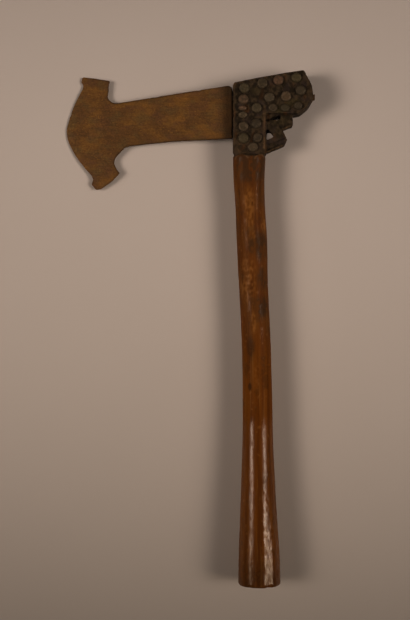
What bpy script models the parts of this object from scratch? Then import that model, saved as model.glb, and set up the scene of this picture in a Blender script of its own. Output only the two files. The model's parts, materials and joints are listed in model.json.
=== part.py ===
"""Axe with a forged iron blade, a carved wooden haft and a head studded with round tacks.

The pieces are drawn flat, in the plane of the blade: X runs from the cutting edge to the back of the
head, Y runs up the haft to the head, and Z is square to the blade. The last step lays the axe down on
the surface, where it rests on the heel of its cutting edge, on the studs of the head and on the butt.
"""

import math

import bmesh
import bpy
from mathutils import Matrix, Vector

MM = 0.001
AXIS_Z = Vector((0.0, 0.0, 1.0))

# Haft: stations along the grip, each with its place up the haft, its drift to the side and its width
GRIP_STATIONS = (
    (-421.4, 8.7, 37.8),
    (-400.0, 8.6, 37.0),
    (-365.0, 8.0, 33.4),
    (-330.0, 7.6, 30.2),
    (-294.0, 7.3, 27.5),
    (-255.0, 7.1, 26.4),
    (-205.0, 5.8, 26.0),
    (-152.0, 3.4, 26.1),
    (-117.0, 2.1, 27.4),
    (-84.0, 0.5, 26.4),
    (-62.0, -0.4, 27.5),
    (-47.0, -0.3, 28.8),
    (-43.2, -0.2, 29.0),
)
GRIP_SEGMENTS = 28
GRIP_RINGS = 34
BUTT_RIM = 2.6 * MM
BUTT_RIM_TURNS = (0.0, 30.0, 60.0)
ROUND_EXPONENT = 2.0
SQUARE_EXPONENT = 2.9
SQUARING_STARTS = -95.0 * MM
SHOULDER_STEPS = ((2.4 * MM, 3.2 * MM), (9.0 * MM, 4.6 * MM))

# Head: a flat-faced block that stands on the top of the haft and overhangs the back
HEAD_THICKNESS = 22.0 * MM
HEAD_ROUNDING = 1.3 * MM
COLUMN_LEFT = -14.6
COLUMN_RIGHT = 15.0
COLUMN_FOOT = -42.0
BLOCK_UNDERSIDE = -6.3
HEAD_OUTLINE = (
    (COLUMN_LEFT, COLUMN_FOOT, 2.0),
    (COLUMN_RIGHT, COLUMN_FOOT, 3.0),
    (COLUMN_RIGHT, BLOCK_UNDERSIDE, 0.8),
    (42.9, -7.1, 9.0),
    (51.4, -0.6, 20.0),
    (56.9, 8.8, 7.0),
    (55.5, 18.6, 9.0),
    (48.3, 32.4, 1.6),
    (36.4, 31.0, 50.0),
    (12.2, 27.1, 50.0),
    (COLUMN_LEFT, 22.2, 3.0),
)

# Openwork brace: a zigzag strip under the overhang, with one gap above it and one behind it. It is
# thinner than the head, and stands a little nearer to the front face than to the back.
BRACE_THICKNESS = 8.4 * MM
BRACE_SHIFT = 2.6 * MM
BRACE_ROUNDING = 1.1 * MM
BRACE_OUTLINE = (
    (8.0, -3.0, 0.0),
    (8.0, -40.0, 0.0),
    (15.0, -40.8, 0.0),
    (30.9, -34.4, 2.2),
    (33.7, -28.3, 1.6),
    (29.6, -20.3, 0.5),
    (37.9, -17.4, 1.4),
    (38.9, -13.9, 1.4),
    (37.8, -3.0, 0.0),
)
GAP_REACH = 12.0 * MM
UPPER_GAP_FRONT = ((15.4, -11.6), (28.0, -10.1), (26.8, -6.6))
UPPER_GAP_BACK = ((16.0, -13.8), (27.6, -12.4), (26.4, -9.6))
LOWER_GAP_FRONT = ((15.2, -18.2), (15.2, -28.9), (21.4, -25.8))
LOWER_GAP_BACK = ((15.2, -22.8), (15.2, -29.3), (21.2, -26.2))

# Blade: a T-shaped plate that thins towards its cutting edge, with a tang through the head
EDGE_CURVE = (
    (-150.0, 19.8),
    (-157.0, 6.2),
    (-162.2, -8.2),
    (-164.3, -18.6),
    (-162.0, -29.2),
    (-154.5, -42.8),
    (-141.6, -58.7),
)
EDGE_POINTS_PER_SPAN = 4
BLADE_END = -15.1
UPPER_HORN = (
    (BLADE_END, 21.2, 4.2),
    (-60.0, 15.0, 0.0),
    (-128.5, 4.9, 9.0),
    (-125.2, 26.6, 1.2),
    (-140.0, 29.3, 0.0),
    (-149.9, 30.6, 1.6),
    (-151.3, 26.2, 1.4),
    (-149.2, 22.8, 1.2),
)
LOWER_HORN = (
    (-140.3, -61.7, 1.2),
    (-141.8, -66.2, 1.8),
    (-137.9, -71.2, 3.0),
    (-133.2, -70.5, 2.0),
    (-123.2, -63.7, 12.0),
    (-116.3, -56.2, 1.0),
    (-123.2, -45.4, 9.0),
    (-110.8, -32.4, 16.0),
    (-70.0, -28.5, 0.0),
    (-34.0, -27.2, 0.0),
    (BLADE_END, -26.2, 1.0),
)
OUTLINE_HEIGHT = 20.0 * MM
NECK_START = -98.0
BEVEL_WIDTH = 4.5
EDGE_THICKNESS = 0.8
HEEL_THICKNESS = 2.0
FLARE_DEPTH = 22.0
FLARE_THICKNESS = 3.1
NECK_THICKNESS = 3.9
ROOT_THICKNESS = 4.8
ROOT_OVERRUN = 4.0
BLANK_MARGIN = 30.0
LIP_REACH = 9.0
TANG_ROOT = (-18.0, -10.0, 7.0)
TANG_TIP = (57.8, 7.2, 11.7)
TANG_ROOT_THICKNESS = 4.6
TANG_TIP_THICKNESS = 3.8
CLEARANCE = 0.35
SLOT_OVERRUN = 6.0

# Tacks: round-headed nails, each with its place on the face, its width and its height
TACK_DOME = 1.7 * MM
TACK_LIFT = 0.3 * MM
SHANK_RADIUS = 0.9 * MM
SHANK_LENGTH = 5.0 * MM
SHANK_POINT = 1.6 * MM
PIT_SPARE = 0.4 * MM
TACK_PROFILE = (
    (0.0, TACK_LIFT + TACK_DOME),
    (0.30, TACK_LIFT + 0.86 * TACK_DOME),
    (0.44, TACK_LIFT + 0.50 * TACK_DOME),
    (0.50, TACK_LIFT),
)
TACK_SIDES = 12
PIT_SIDES = 8
FRONT_TACKS = (
    (-4.0, 16.4, 9.5, 9.5),
    (-4.8, 6.6, 9.5, 9.5),
    (-5.6, -1.2, 8.2, 5.0),
    (-5.3, -7.2, 8.4, 6.4),
    (-4.9, -17.2, 9.2, 9.2),
    (-5.0, -27.6, 9.8, 9.8),
    (11.8, 20.4, 9.6, 9.2),
    (25.9, 22.9, 9.4, 9.4),
    (41.6, 24.8, 9.4, 8.6),
    (17.9, 7.9, 9.8, 9.0),
    (32.6, 8.7, 9.6, 9.6),
    (45.4, 13.7, 9.4, 9.4),
    (6.7, -1.1, 9.4, 9.2),
    (21.0, -1.3, 8.2, 7.6),
    (31.6, -1.4, 8.4, 7.8),
    (43.0, 0.5, 7.8, 7.8),
    (6.4, -14.8, 9.4, 9.4),
    (7.5, -27.4, 8.6, 8.6),
    (3.5, -35.6, 9.4, 8.6),
)
BACK_TACKS = (
    (-4.5, 14.0, 9.5, 9.5),
    (-4.5, 2.5, 9.5, 9.5),
    (-4.5, -9.0, 9.5, 9.5),
    (-4.5, -20.5, 9.5, 9.5),
    (-4.5, -32.0, 9.5, 9.5),
    (6.8, -14.5, 9.5, 9.5),
    (6.8, -26.5, 9.5, 9.5),
    (9.0, 17.0, 9.5, 9.5),
    (23.0, 20.0, 9.5, 9.5),
    (37.0, 21.5, 9.5, 9.5),
    (9.0, 2.5, 9.5, 9.5),
    (22.5, 4.5, 9.5, 9.5),
    (36.0, 6.0, 9.5, 9.5),
    (47.5, 11.0, 9.5, 9.5),
)

# Laying down: how often the three resting points are looked for again
RESTING_ROUNDS = 12

# Finish of each material: colour, roughness and metallic value
WOOD = ("oiled_wood", (0.17, 0.068, 0.022), 0.42, 0.0)
IRON = ("rusted_iron", (0.19, 0.092, 0.035), 0.62, 0.55)
TACK_METAL = ("tarnished_tack", (0.12, 0.075, 0.042), 0.48, 0.7)


def clear_scene():
    for old in list(bpy.data.objects):
        bpy.data.objects.remove(old, do_unlink=True)


def new_collection(name):
    collection = bpy.data.collections.new(name)
    bpy.context.scene.collection.children.link(collection)
    return collection


def new_material(finish):
    name, colour, roughness, metallic = finish
    material = bpy.data.materials.new(name)
    material.use_nodes = True
    shader = material.node_tree.nodes["Principled BSDF"]
    shader.inputs["Base Color"].default_value = (*colour, 1.0)
    shader.inputs["Roughness"].default_value = roughness
    shader.inputs["Metallic"].default_value = metallic
    material.diffuse_color = (*colour, 1.0)
    return material


def corner_arc(before, corner, after, radius, steps=5, most=0.48):
    """Points of the arc that rounds one corner, tangent to both of its sides.

    It takes up no more than the share called most of the shorter side.
    """
    if radius == 0.0:
        return [corner]
    to_before = (before - corner).normalized()
    to_after = (after - corner).normalized()
    half_angle = to_before.angle(to_after) / 2.0
    reach = radius / math.tan(half_angle)
    longest = most * min((before - corner).length, (after - corner).length)
    reach = min(reach, longest)
    radius = reach * math.tan(half_angle)
    centre = corner + (to_before + to_after).normalized() * (radius / math.sin(half_angle))
    start = corner + to_before * reach - centre
    end = corner + to_after * reach - centre
    turn = start.angle_signed(end)
    return [centre + Matrix.Rotation(-turn * i / steps, 2) @ start for i in range(steps + 1)]


def rounded_outline(corners):
    """Closed outline in mm from (x, y, radius) corners."""
    points = [Vector(corner[:2]) for corner in corners]
    outline = []
    for i, corner in enumerate(corners):
        outline += corner_arc(points[i - 1], points[i], points[(i + 1) % len(points)], corner[2])
    return outline


def smooth_curve(points, per_span):
    """Catmull-Rom curve through the points, with a straight run-out past both ends."""
    given = [Vector(p) for p in points]
    given = [2 * given[0] - given[1]] + given + [2 * given[-1] - given[-2]]
    curve = []
    for i in range(1, len(given) - 2):
        a, b, c, d = given[i - 1 : i + 3]
        for step in range(per_span):
            t = step / per_span
            curve.append(
                b
                + (c - a) * (t / 2)
                + (2 * a - 5 * b + 4 * c - d) * (t * t / 2)
                + (3 * b - a - 3 * c + d) * (t * t * t / 2)
            )
    curve.append(given[-2])
    return curve


def between_stations(stations, place):
    """The values of a table at one place, on a smooth curve through its rows."""
    last = len(stations) - 2
    row = max(i for i in range(last + 1) if i == 0 or stations[i][0] <= place)
    a = stations[max(row - 1, 0)]
    b = stations[row]
    c = stations[row + 1]
    d = stations[min(row + 2, last + 1)]
    t = (place - b[0]) / (c[0] - b[0])
    values = []
    for k in range(1, len(b)):
        slope_b = (c[k] - a[k]) / (c[0] - a[0]) * (c[0] - b[0])
        slope_c = (d[k] - b[k]) / (d[0] - b[0]) * (c[0] - b[0])
        values.append(
            b[k] * (1 - 3 * t**2 + 2 * t**3)
            + slope_b * (t - 2 * t**2 + t**3)
            + c[k] * (3 * t**2 - 2 * t**3)
            + slope_c * (t**3 - t**2)
        )
    return values


def add_object(name, mesh, collection, material=None):
    thing = bpy.data.objects.new(name, mesh)
    collection.objects.link(thing)
    if material:
        mesh.materials.append(material)
    return thing


def hide(helper):
    helper.hide_render = True
    helper.display_type = "WIRE"


def flat_solid(name, outline, thickness, collection):
    """Plate with this outline in mm, standing half its thickness either side of the blade plane."""
    curve = bpy.data.curves.new(name, "CURVE")
    curve.dimensions = "2D"
    curve.fill_mode = "BOTH"
    curve.extrude = thickness / 2.0
    spline = curve.splines.new("POLY")
    spline.points.add(len(outline) - 1)
    for point, place in zip(spline.points, outline):
        point.co = (place[0] * MM, place[1] * MM, 0.0, 1.0)
    spline.use_cyclic_u = True
    drawn = bpy.data.objects.new(name + "_curve", curve)
    collection.objects.link(drawn)
    bpy.context.view_layer.update()
    graph = bpy.context.evaluated_depsgraph_get()
    mesh = bpy.data.meshes.new_from_object(drawn.evaluated_get(graph))
    bpy.data.objects.remove(drawn, do_unlink=True)
    weld(mesh)
    return add_object(name, mesh, collection)


def weld(mesh):
    work = bmesh.new()
    work.from_mesh(mesh)
    bmesh.ops.remove_doubles(work, verts=work.verts, dist=0.01 * MM)
    bmesh.ops.recalc_face_normals(work, faces=work.faces)
    work.to_mesh(mesh)
    work.free()


def lofted_solid(name, rings, collection):
    """Closed body through rings that all have the same number of points."""
    work = bmesh.new()
    rows = [[work.verts.new(point) for point in ring] for ring in rings]
    count = len(rows[0])
    for lower, upper in zip(rows, rows[1:]):
        for i in range(count):
            j = (i + 1) % count
            work.faces.new((lower[i], lower[j], upper[j], upper[i]))
    work.faces.new(rows[0])
    work.faces.new(rows[-1])
    bmesh.ops.recalc_face_normals(work, faces=work.faces)
    mesh = bpy.data.meshes.new(name)
    work.to_mesh(mesh)
    work.free()
    return add_object(name, mesh, collection)


def round_edges(thing, width, segments=2):
    bevel = thing.modifiers.new("rounded_edges", "BEVEL")
    bevel.width = width
    bevel.segments = segments
    bevel.limit_method = "ANGLE"
    bevel.angle_limit = math.radians(60.0)


def combine(thing, helper, operation):
    hide(helper)
    step = thing.modifiers.new(operation.lower() + "_" + helper.name, "BOOLEAN")
    step.operation = operation
    step.solver = "EXACT"
    step.object = helper


def shade_round(thing, sharp_degrees):
    thing.data.shade_smooth()
    thing.data.set_sharp_from_angle(angle=math.radians(sharp_degrees))


def grip_ring(place, drift, width, inset, exponent):
    """One cross section of the grip: a circle that squares up near the head."""
    reach = width / 2.0 - inset
    ring = []
    for i in range(GRIP_SEGMENTS):
        angle = 2.0 * math.pi * (i + 0.5) / GRIP_SEGMENTS
        c = math.cos(angle)
        s = math.sin(angle)
        swell = (abs(c) ** exponent + abs(s) ** exponent) ** (-1.0 / exponent)
        ring.append(Vector((drift + reach * swell * c, place, reach * swell * s)))
    return ring


def grip(collection):
    """The round haft from the butt to just inside the head."""
    low = GRIP_STATIONS[0][0] * MM
    high = GRIP_STATIONS[-1][0] * MM
    rings = []
    for angle in BUTT_RIM_TURNS:
        drift, width = between_stations(GRIP_STATIONS, GRIP_STATIONS[0][0])
        back = math.radians(angle)
        rise = BUTT_RIM * (1.0 - math.cos(back))
        inset = BUTT_RIM * (1.0 - math.sin(back))
        rings.append(grip_ring(low + rise, drift * MM, width * MM, inset, ROUND_EXPONENT))
    first = low + BUTT_RIM
    for i in range(GRIP_RINGS + 1):
        place = first + (high - first) * i / GRIP_RINGS
        drift, width = between_stations(GRIP_STATIONS, place / MM)
        share = max(0.0, (place - SQUARING_STARTS) / (high - SQUARING_STARTS))
        exponent = ROUND_EXPONENT + (SQUARE_EXPONENT - ROUND_EXPONENT) * share
        rings.append(grip_ring(place, drift * MM, width * MM, 0.0, exponent))
    drift, width = between_stations(GRIP_STATIONS, GRIP_STATIONS[-1][0])
    for rise, inset in SHOULDER_STEPS:
        rings.append(grip_ring(high + rise, drift * MM, width * MM, inset, SQUARE_EXPONENT))
    return lofted_solid("haft", rings, collection)


def gap_cutter(name, front, back, collection):
    """Three-sided hole through the brace that changes shape from one face to the other."""
    stretch = 2.0 * GAP_REACH / BRACE_THICKNESS
    rings = []
    for side in (-1.0, 1.0):
        ring = []
        for at_front, at_back in zip(front, back):
            middle = (Vector(at_front) + Vector(at_back)) / 2.0
            place = middle + (Vector(at_front) - middle) * side * stretch
            ring.append(Vector((place.x * MM, place.y * MM, BRACE_SHIFT + side * GAP_REACH)))
        rings.append(ring)
    return lofted_solid(name, rings, collection)


def tang_solid(name, extra, overrun, collection):
    """The tapered tang, or with extra width its slot in the head."""
    rings = []
    for (x, low, high), thickness in ((TANG_ROOT, TANG_ROOT_THICKNESS), (TANG_TIP, TANG_TIP_THICKNESS)):
        x += overrun if x > 0.0 else 0.0
        half = thickness / 2.0 + extra
        low -= extra
        high += extra
        square = ((low, -half), (high, -half), (high, half), (low, half))
        rings.append([Vector((x * MM, y * MM, z * MM)) for y, z in square])
    return lofted_solid(name, rings, collection)


def pits(name, places, side, collection):
    """One cutter with a round hole for each tack on a face. side is +1 in front and -1 behind."""
    work = bmesh.new()
    top = HEAD_THICKNESS / 2.0 + MM
    bottom = HEAD_THICKNESS / 2.0 - SHANK_LENGTH - SHANK_POINT - PIT_SPARE
    for x, y, _, _ in places:
        place = Matrix.Translation((x * MM, y * MM, side * (top + bottom) / 2.0))
        bmesh.ops.create_cone(
            work,
            cap_ends=True,
            segments=PIT_SIDES,
            radius1=SHANK_RADIUS + CLEARANCE * MM,
            radius2=SHANK_RADIUS + CLEARANCE * MM,
            depth=top - bottom,
            matrix=place,
        )
    mesh = bpy.data.meshes.new(name)
    work.to_mesh(mesh)
    work.free()
    return add_object(name, mesh, collection)


def make_haft(parts, helpers):
    haft = grip(parts)
    haft.data.materials.append(new_material(WOOD))
    head = flat_solid("head_block", rounded_outline(HEAD_OUTLINE), HEAD_THICKNESS, helpers)
    round_edges(head, HEAD_ROUNDING)
    brace = flat_solid("brace", rounded_outline(BRACE_OUTLINE), BRACE_THICKNESS, helpers)
    round_edges(brace, BRACE_ROUNDING)
    brace.data.transform(Matrix.Translation((0.0, 0.0, BRACE_SHIFT)))
    combine(haft, head, "UNION")
    combine(haft, brace, "UNION")
    combine(haft, gap_cutter("upper_gap", UPPER_GAP_FRONT, UPPER_GAP_BACK, helpers), "DIFFERENCE")
    combine(haft, gap_cutter("lower_gap", LOWER_GAP_FRONT, LOWER_GAP_BACK, helpers), "DIFFERENCE")
    combine(haft, tang_solid("tang_slot", CLEARANCE, SLOT_OVERRUN, helpers), "DIFFERENCE")
    combine(haft, pits("front_pits", FRONT_TACKS, 1.0, helpers), "DIFFERENCE")
    combine(haft, pits("back_pits", BACK_TACKS, -1.0, helpers), "DIFFERENCE")
    shade_round(haft, 35.0)
    return haft


def offset_row(curve, distance):
    """The cutting edge's curve moved in from the edge, square to it."""
    row = []
    for i, point in enumerate(curve):
        along = (curve[min(i + 1, len(curve) - 1)] - curve[max(i - 1, 0)]).normalized()
        row.append(point + Vector((-along.y, along.x)) * distance)
    return row


def plate_solid(name, rows, collection):
    """Closed plate through rows of points in mm, each row with its own thickness."""
    work = bmesh.new()
    faces_up, faces_down = [], []
    for row, thickness in rows:
        half = thickness / 2.0
        faces_up.append([work.verts.new((p.x * MM, p.y * MM, half * MM)) for p in row])
        faces_down.append([work.verts.new((p.x * MM, p.y * MM, -half * MM)) for p in row])
    last = len(faces_up[0]) - 1
    for sheet in (faces_up, faces_down):
        for a, b in zip(sheet, sheet[1:]):
            for i in range(last):
                work.faces.new((a[i], a[i + 1], b[i + 1], b[i]))
    for i in (0, last):
        for j in range(len(rows) - 1):
            work.faces.new((faces_up[j][i], faces_up[j + 1][i], faces_down[j + 1][i], faces_down[j][i]))
    for j in (0, len(rows) - 1):
        for i in range(last):
            work.faces.new((faces_up[j][i], faces_up[j][i + 1], faces_down[j][i + 1], faces_down[j][i]))
    bmesh.ops.recalc_face_normals(work, faces=work.faces)
    mesh = bpy.data.meshes.new(name)
    work.to_mesh(mesh)
    work.free()
    return add_object(name, mesh, collection)


def blade_blank(collection):
    """The forged plate before it is cut to outline: thin at the edge and thick at the head."""
    curve = smooth_curve(EDGE_CURVE, EDGE_POINTS_PER_SPAN)
    top = curve[0] + (curve[0] - curve[1]).normalized() * BLANK_MARGIN
    bottom = curve[-1] + (curve[-1] - curve[-2]).normalized() * BLANK_MARGIN
    curve = [top] + curve + [bottom]
    rows = [
        (offset_row(curve, -LIP_REACH), EDGE_THICKNESS),
        (offset_row(curve, 0.0), EDGE_THICKNESS),
        (offset_row(curve, BEVEL_WIDTH), HEEL_THICKNESS),
        ([point + Vector((FLARE_DEPTH, 0.0)) for point in curve], FLARE_THICKNESS),
    ]
    heights = [point.y for point in curve]
    for x, thickness in ((NECK_START, NECK_THICKNESS), (BLADE_END + ROOT_OVERRUN, ROOT_THICKNESS)):
        rows.append(([Vector((x, y)) for y in heights], thickness))
    return plate_solid("blade", rows, collection)


def make_blade(parts, helpers):
    blade = blade_blank(parts)
    blade.data.materials.append(new_material(IRON))
    edge = smooth_curve(EDGE_CURVE, EDGE_POINTS_PER_SPAN)
    corners = list(UPPER_HORN)
    corners += [(point.x, point.y, 0.0) for point in edge]
    corners += LOWER_HORN
    outline = flat_solid("blade_outline", rounded_outline(corners), OUTLINE_HEIGHT, helpers)
    combine(blade, outline, "INTERSECT")
    combine(blade, tang_solid("tang", 0.0, 0.0, helpers), "UNION")
    shade_round(blade, 20.0)
    return blade


def make_tack(name, place, side, material, parts):
    """A tack standing in its pit: the head is a hammered dome, wider one way than the other."""
    x, y, wide, tall = place
    across = (wide + tall) / 2.0
    profile = bmesh.new()
    points = [(reach * across * MM, height) for reach, height in TACK_PROFILE]
    points += [
        (SHANK_RADIUS, TACK_LIFT),
        (SHANK_RADIUS, -SHANK_LENGTH),
        (0.0, -SHANK_LENGTH - SHANK_POINT),
    ]
    corners = [profile.verts.new((reach, 0.0, height)) for reach, height in points]
    for a, b in zip(corners, corners[1:]):
        profile.edges.new((a, b))
    mesh = bpy.data.meshes.new(name)
    profile.to_mesh(mesh)
    profile.free()
    tack = add_object(name, mesh, parts, material)
    turn = tack.modifiers.new("turned", "SCREW")
    turn.steps = TACK_SIDES
    turn.render_steps = TACK_SIDES
    turn.use_merge_vertices = True
    turn.merge_threshold = 0.00001
    turn.use_smooth_shade = True
    tack.location = (x * MM, y * MM, side * HEAD_THICKNESS / 2.0)
    tack.scale = (wide / across, tall / across, 1.0)
    if side < 0.0:
        tack.rotation_euler = (math.pi, 0.0, 0.0)
    return tack


def make_tacks(parts):
    material = new_material(TACK_METAL)
    tacks = []
    for face, side, places in (("front", 1.0, FRONT_TACKS), ("back", -1.0, BACK_TACKS)):
        for number, place in enumerate(places, 1):
            name = "tack_{}_{:02d}".format(face, number)
            tacks.append(make_tack(name, place, side, material, parts))
    return tacks


def world_points(pieces):
    bpy.context.view_layer.update()
    graph = bpy.context.evaluated_depsgraph_get()
    points = []
    for piece in pieces:
        shape = piece.evaluated_get(graph)
        points += [shape.matrix_world @ vertex.co for vertex in shape.data.vertices]
    return points


def lay_down(pieces, helpers):
    """Turns the axe until the blade, the head and the butt all touch the surface below."""
    points = world_points(pieces)
    butt_top = GRIP_STATIONS[2][0] * MM
    groups = (
        [p for p in points if p.x < NECK_START * MM],
        [p for p in points if p.x > BLADE_END * MM and p.y > COLUMN_FOOT * MM],
        [p for p in points if p.y < butt_top],
    )
    up = AXIS_Z
    for _ in range(RESTING_ROUNDS):
        blade, head, butt = [min(group, key=up.dot) for group in groups]
        up = (head - blade).cross(butt - blade).normalized()
        up *= math.copysign(1.0, up.z)
    turn = up.rotation_difference(AXIS_Z).to_matrix().to_4x4()
    turned = [turn @ point for point in points]
    lows = [min(point[k] for point in turned) for k in range(3)]
    highs = [max(point[k] for point in turned) for k in range(3)]
    centre = Vector(((lows[0] + highs[0]) / 2.0, (lows[1] + highs[1]) / 2.0, lows[2]))
    resting = bpy.data.objects.new("axe_at_rest", None)
    bpy.context.scene.collection.objects.link(resting)
    for thing in pieces + list(helpers.objects):
        thing.parent = resting
    resting.matrix_world = Matrix.Translation(-centre) @ turn
    return resting


def main():
    clear_scene()
    parts = new_collection("iron_axe")
    helpers = new_collection("cutters")
    pieces = [make_haft(parts, helpers), make_blade(parts, helpers)]
    pieces += make_tacks(parts)
    lay_down(pieces, helpers)
    bpy.context.view_layer.update()


main()
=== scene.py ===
"""Looks of an axe with a forged iron blade, a carved wooden haft and a head studded with round tacks."""

import json
import math

import bmesh
import bpy
import numpy as np
from mathutils import Matrix, Vector, geometry, noise
from mathutils.bvhtree import BVHTree


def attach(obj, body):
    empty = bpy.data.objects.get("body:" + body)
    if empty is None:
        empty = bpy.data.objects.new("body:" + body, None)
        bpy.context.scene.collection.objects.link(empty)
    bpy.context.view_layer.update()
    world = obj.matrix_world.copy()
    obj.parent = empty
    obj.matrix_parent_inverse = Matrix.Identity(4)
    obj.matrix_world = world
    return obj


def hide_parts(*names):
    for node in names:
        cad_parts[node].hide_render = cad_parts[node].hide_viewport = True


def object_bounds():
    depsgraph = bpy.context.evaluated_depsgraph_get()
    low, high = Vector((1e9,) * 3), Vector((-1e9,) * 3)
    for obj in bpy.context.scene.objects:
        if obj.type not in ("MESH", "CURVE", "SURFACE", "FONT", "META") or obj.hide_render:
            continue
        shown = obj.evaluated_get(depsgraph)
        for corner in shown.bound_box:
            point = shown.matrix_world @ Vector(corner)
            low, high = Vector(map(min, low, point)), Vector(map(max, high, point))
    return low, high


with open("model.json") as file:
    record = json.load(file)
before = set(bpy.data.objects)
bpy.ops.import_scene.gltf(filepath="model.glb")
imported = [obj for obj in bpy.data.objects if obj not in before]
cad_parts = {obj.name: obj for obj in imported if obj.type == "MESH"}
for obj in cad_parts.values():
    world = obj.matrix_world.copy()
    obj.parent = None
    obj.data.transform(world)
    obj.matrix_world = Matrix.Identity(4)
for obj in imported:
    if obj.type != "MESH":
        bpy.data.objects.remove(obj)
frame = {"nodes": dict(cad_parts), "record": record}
cad_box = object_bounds()

# Haft: one length of hardwood. Its round grip was shaved with a knife and polished by the hands that
# held it, and its head is carved square, dyed black and left dull. The blade's tang goes through the
# head, and an openwork zigzag under the overhang braces it.
MM = 0.001
BUTT_CENTRE = Vector((8.7, -421.4, 0.0)) * MM
CHEEK_SLOPE = 0.45 / 86.9
HEAD_HALF = 11.0
HEAD_FOOT = -42.0
WOOD_VOXEL = 0.80
WELD_DISTANCE = 0.005 * MM
PLUG_RADIUS = 1.7
PLUG_DEPTH = 7.4
PLUG_SUNK = 0.3
PLUG_SIDES = 12
GRIP_SMOOTHING = 34
HEAD_SMOOTHING = 3
SMOOTHING_LEVELS = 10
BUTT_RIM_ENDS = (-418.6, -416.0)
SHAVING_DEPTH = 0.22
DENT_DEPTH = 0.12
PITTED_DEPTH = 0.15
CARVING_DEPTH = 0.30
CHIP_DEPTH = 0.9
NICK_DEPTH = 0.9
NAIL_HOLE_DEPTH = 1.6
LOST_RING_DEPTH = 0.45
GROOVE_DEPTH = 0.9
SCALLOP_DEPTH = 0.5
RISE_UNDER_TACKS = 0.10
EDGE_BEND = (0.10, 0.30)
WORN_BEND = (0.13, 0.34)
# Lumps of noise: size in mm, seed, stretch along each axis
BROAD_SHAVINGS = (11.0, 1, (1.0, 4.2, 1.0))
NARROW_SHAVINGS = (6.0, 2, (1.0, 5.5, 1.0))
DENTS = (4.5, 3)
KNIFE_CUTS = (7.0, 4)
SMALL_CUTS = (2.4, 5)
CHIPS = (5.0, 6)
MOTTLE = (5.0, 7, (1.0, 2.2, 1.0))
SPECKLE = (1.9, 8, (1.0, 1.5, 1.0))
BLOTCH = (8.0, 9, (1.0, 1.6, 1.0))
SMALL_PITS = (2.3, 11, (1.0, 1.5, 1.0))
# Soft oval patches: x, y, half width, half length, strength
STAINS = (
    (10.8, -122.0, 6.5, 16.0, 0.95),
    (2.2, -122.5, 3.6, 9.0, 0.85),
    (11.8, -151.0, 5.4, 12.0, 0.85),
    (10.8, -176.0, 7.8, 12.0, 1.0),
    (1.8, -212.0, 4.4, 12.5, 0.7),
    (-8.0, -222.0, 4.0, 18.0, 0.4),
    (1.5, -54.0, 22.0, 17.0, 1.0),
    (1.5, -47.0, 24.0, 7.0, 1.0),
    (8.7, -424.0, 26.0, 34.0, 0.62),
    (12.0, -74.0, 5.0, 16.0, 0.55),
    (-9.5, -98.0, 3.5, 20.0, 0.45),
)
# Bright patches: partly tan wood, partly painted sheen where the lights gleam on the grip
BRIGHT_PATCHES = (
    (0.0, -87.0, 6.0, 19.0, 0.85),
    (13.0, -104.0, 3.2, 10.0, 1.0),
    (2.0, -104.0, 3.4, 8.0, 0.7),
    (-1.0, -150.0, 8.5, 23.0, 0.85),
    (4.4, -190.0, 3.0, 12.0, 1.0),
    (7.0, -238.0, 3.4, 16.0, 0.5),
    (-7.6, -54.0, 2.8, 7.0, 0.9),
    (17.4, -387.0, 5.0, 42.0, 0.85),
)
OLIVE_PATCHES = (
    (38.0, 3.4, 9.0, 4.6, 0.9),
    (26.0, -2.6, 11.0, 4.2, 0.8),
    (6.0, 14.0, 5.0, 4.0, 0.5),
    (27.0, -12.0, 9.0, 5.0, 0.35),
    (24.0, -24.0, 6.0, 8.0, 0.25),
)
BROWN_PATCHES = (
    (53.0, 14.0, 4.0, 15.0, 0.6),
    (-1.0, -38.5, 16.0, 7.5, 1.0),
    (-9.0, -34.0, 7.0, 9.0, 0.9),
    (8.0, -20.0, 5.0, 9.0, 0.6),
)
# x, y, half width, half length
KNOT = (0.8, -246.0, 1.9, 4.2)
# x, y, radius, depth
GRIP_NICK = (17.0, -227.0, 2.4, 1.1)
# x, y, radius
EDGE_NICKS = (
    (-14.6, -3.6, 1.5),
    (-14.6, -7.4, 1.3),
    (-14.6, 10.8, 1.0),
    (52.6, 2.0, 1.4),
    (33.6, -27.4, 1.2),
)
NAIL_HOLE = (13.2, -1.6, 1.1)
LOST_RINGS = ((45.6, 6.2, 4.0), (35.0, 2.4, 3.0), (-5.3, -36.2, 3.8))
SHOULDER_SCALLOPS = ((-6.4, -48.0, 6.4), (9.8, -46.5, 4.4))
# Where it stands in x, and its lowest and highest y
WORN_COLUMN_EDGE = (13.6, -37.5, -0.5)
BRACE_FACE = 6.8
BRACE_LEFT = 15.3
# Carved lines from x, y to x, y with their strength, also darkened with painted shade; the last one
# marks the painted shaded edge of the upper gap
BRACE_GROOVES = (
    (16.0, -37.6, 30.2, -31.9, 0.7),
    (17.5, -32.4, 21.8, -31.2, 0.5),
    (22.0, -31.4, 31.0, -27.4, 0.6),
    (25.0, -13.2, 30.2, -21.8, 0.7),
    (30.5, -17.2, 36.6, -14.8, 0.6),
    (15.8, -11.4, 26.5, -8.4, 1.3),
)
# Where the walls of the gaps get painted shade: from x to x and from y to y
GAP_PLACES = ((14.5, 22.0, -30.0, -17.5), (14.5, 28.8, -14.5, -5.5))
POLISH_STARTS = -282.0
HANDLED_ENDS = (-240.0, -178.0)
FAINT_GLOSS_ENDS = (-215.0, -185.0)
PITTED_ENDS = (-370.0, -318.0)
PITTED_SIDE = (10.5, 14.0)
FLAT_DIRECTION = math.radians(30.5)
FLAT_REACH = math.radians(12.5)
FLAT_ENDS = (-385.0, -335.0)
# The haft is a little crooked: y, and the x of its middle there
FIBRE_DRIFT = (
    (-421.4, 8.7),
    (-330.0, 7.6),
    (-255.0, 7.1),
    (-205.0, 5.8),
    (-152.0, 3.4),
    (-117.0, 2.1),
    (-84.0, 0.5),
)


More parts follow.
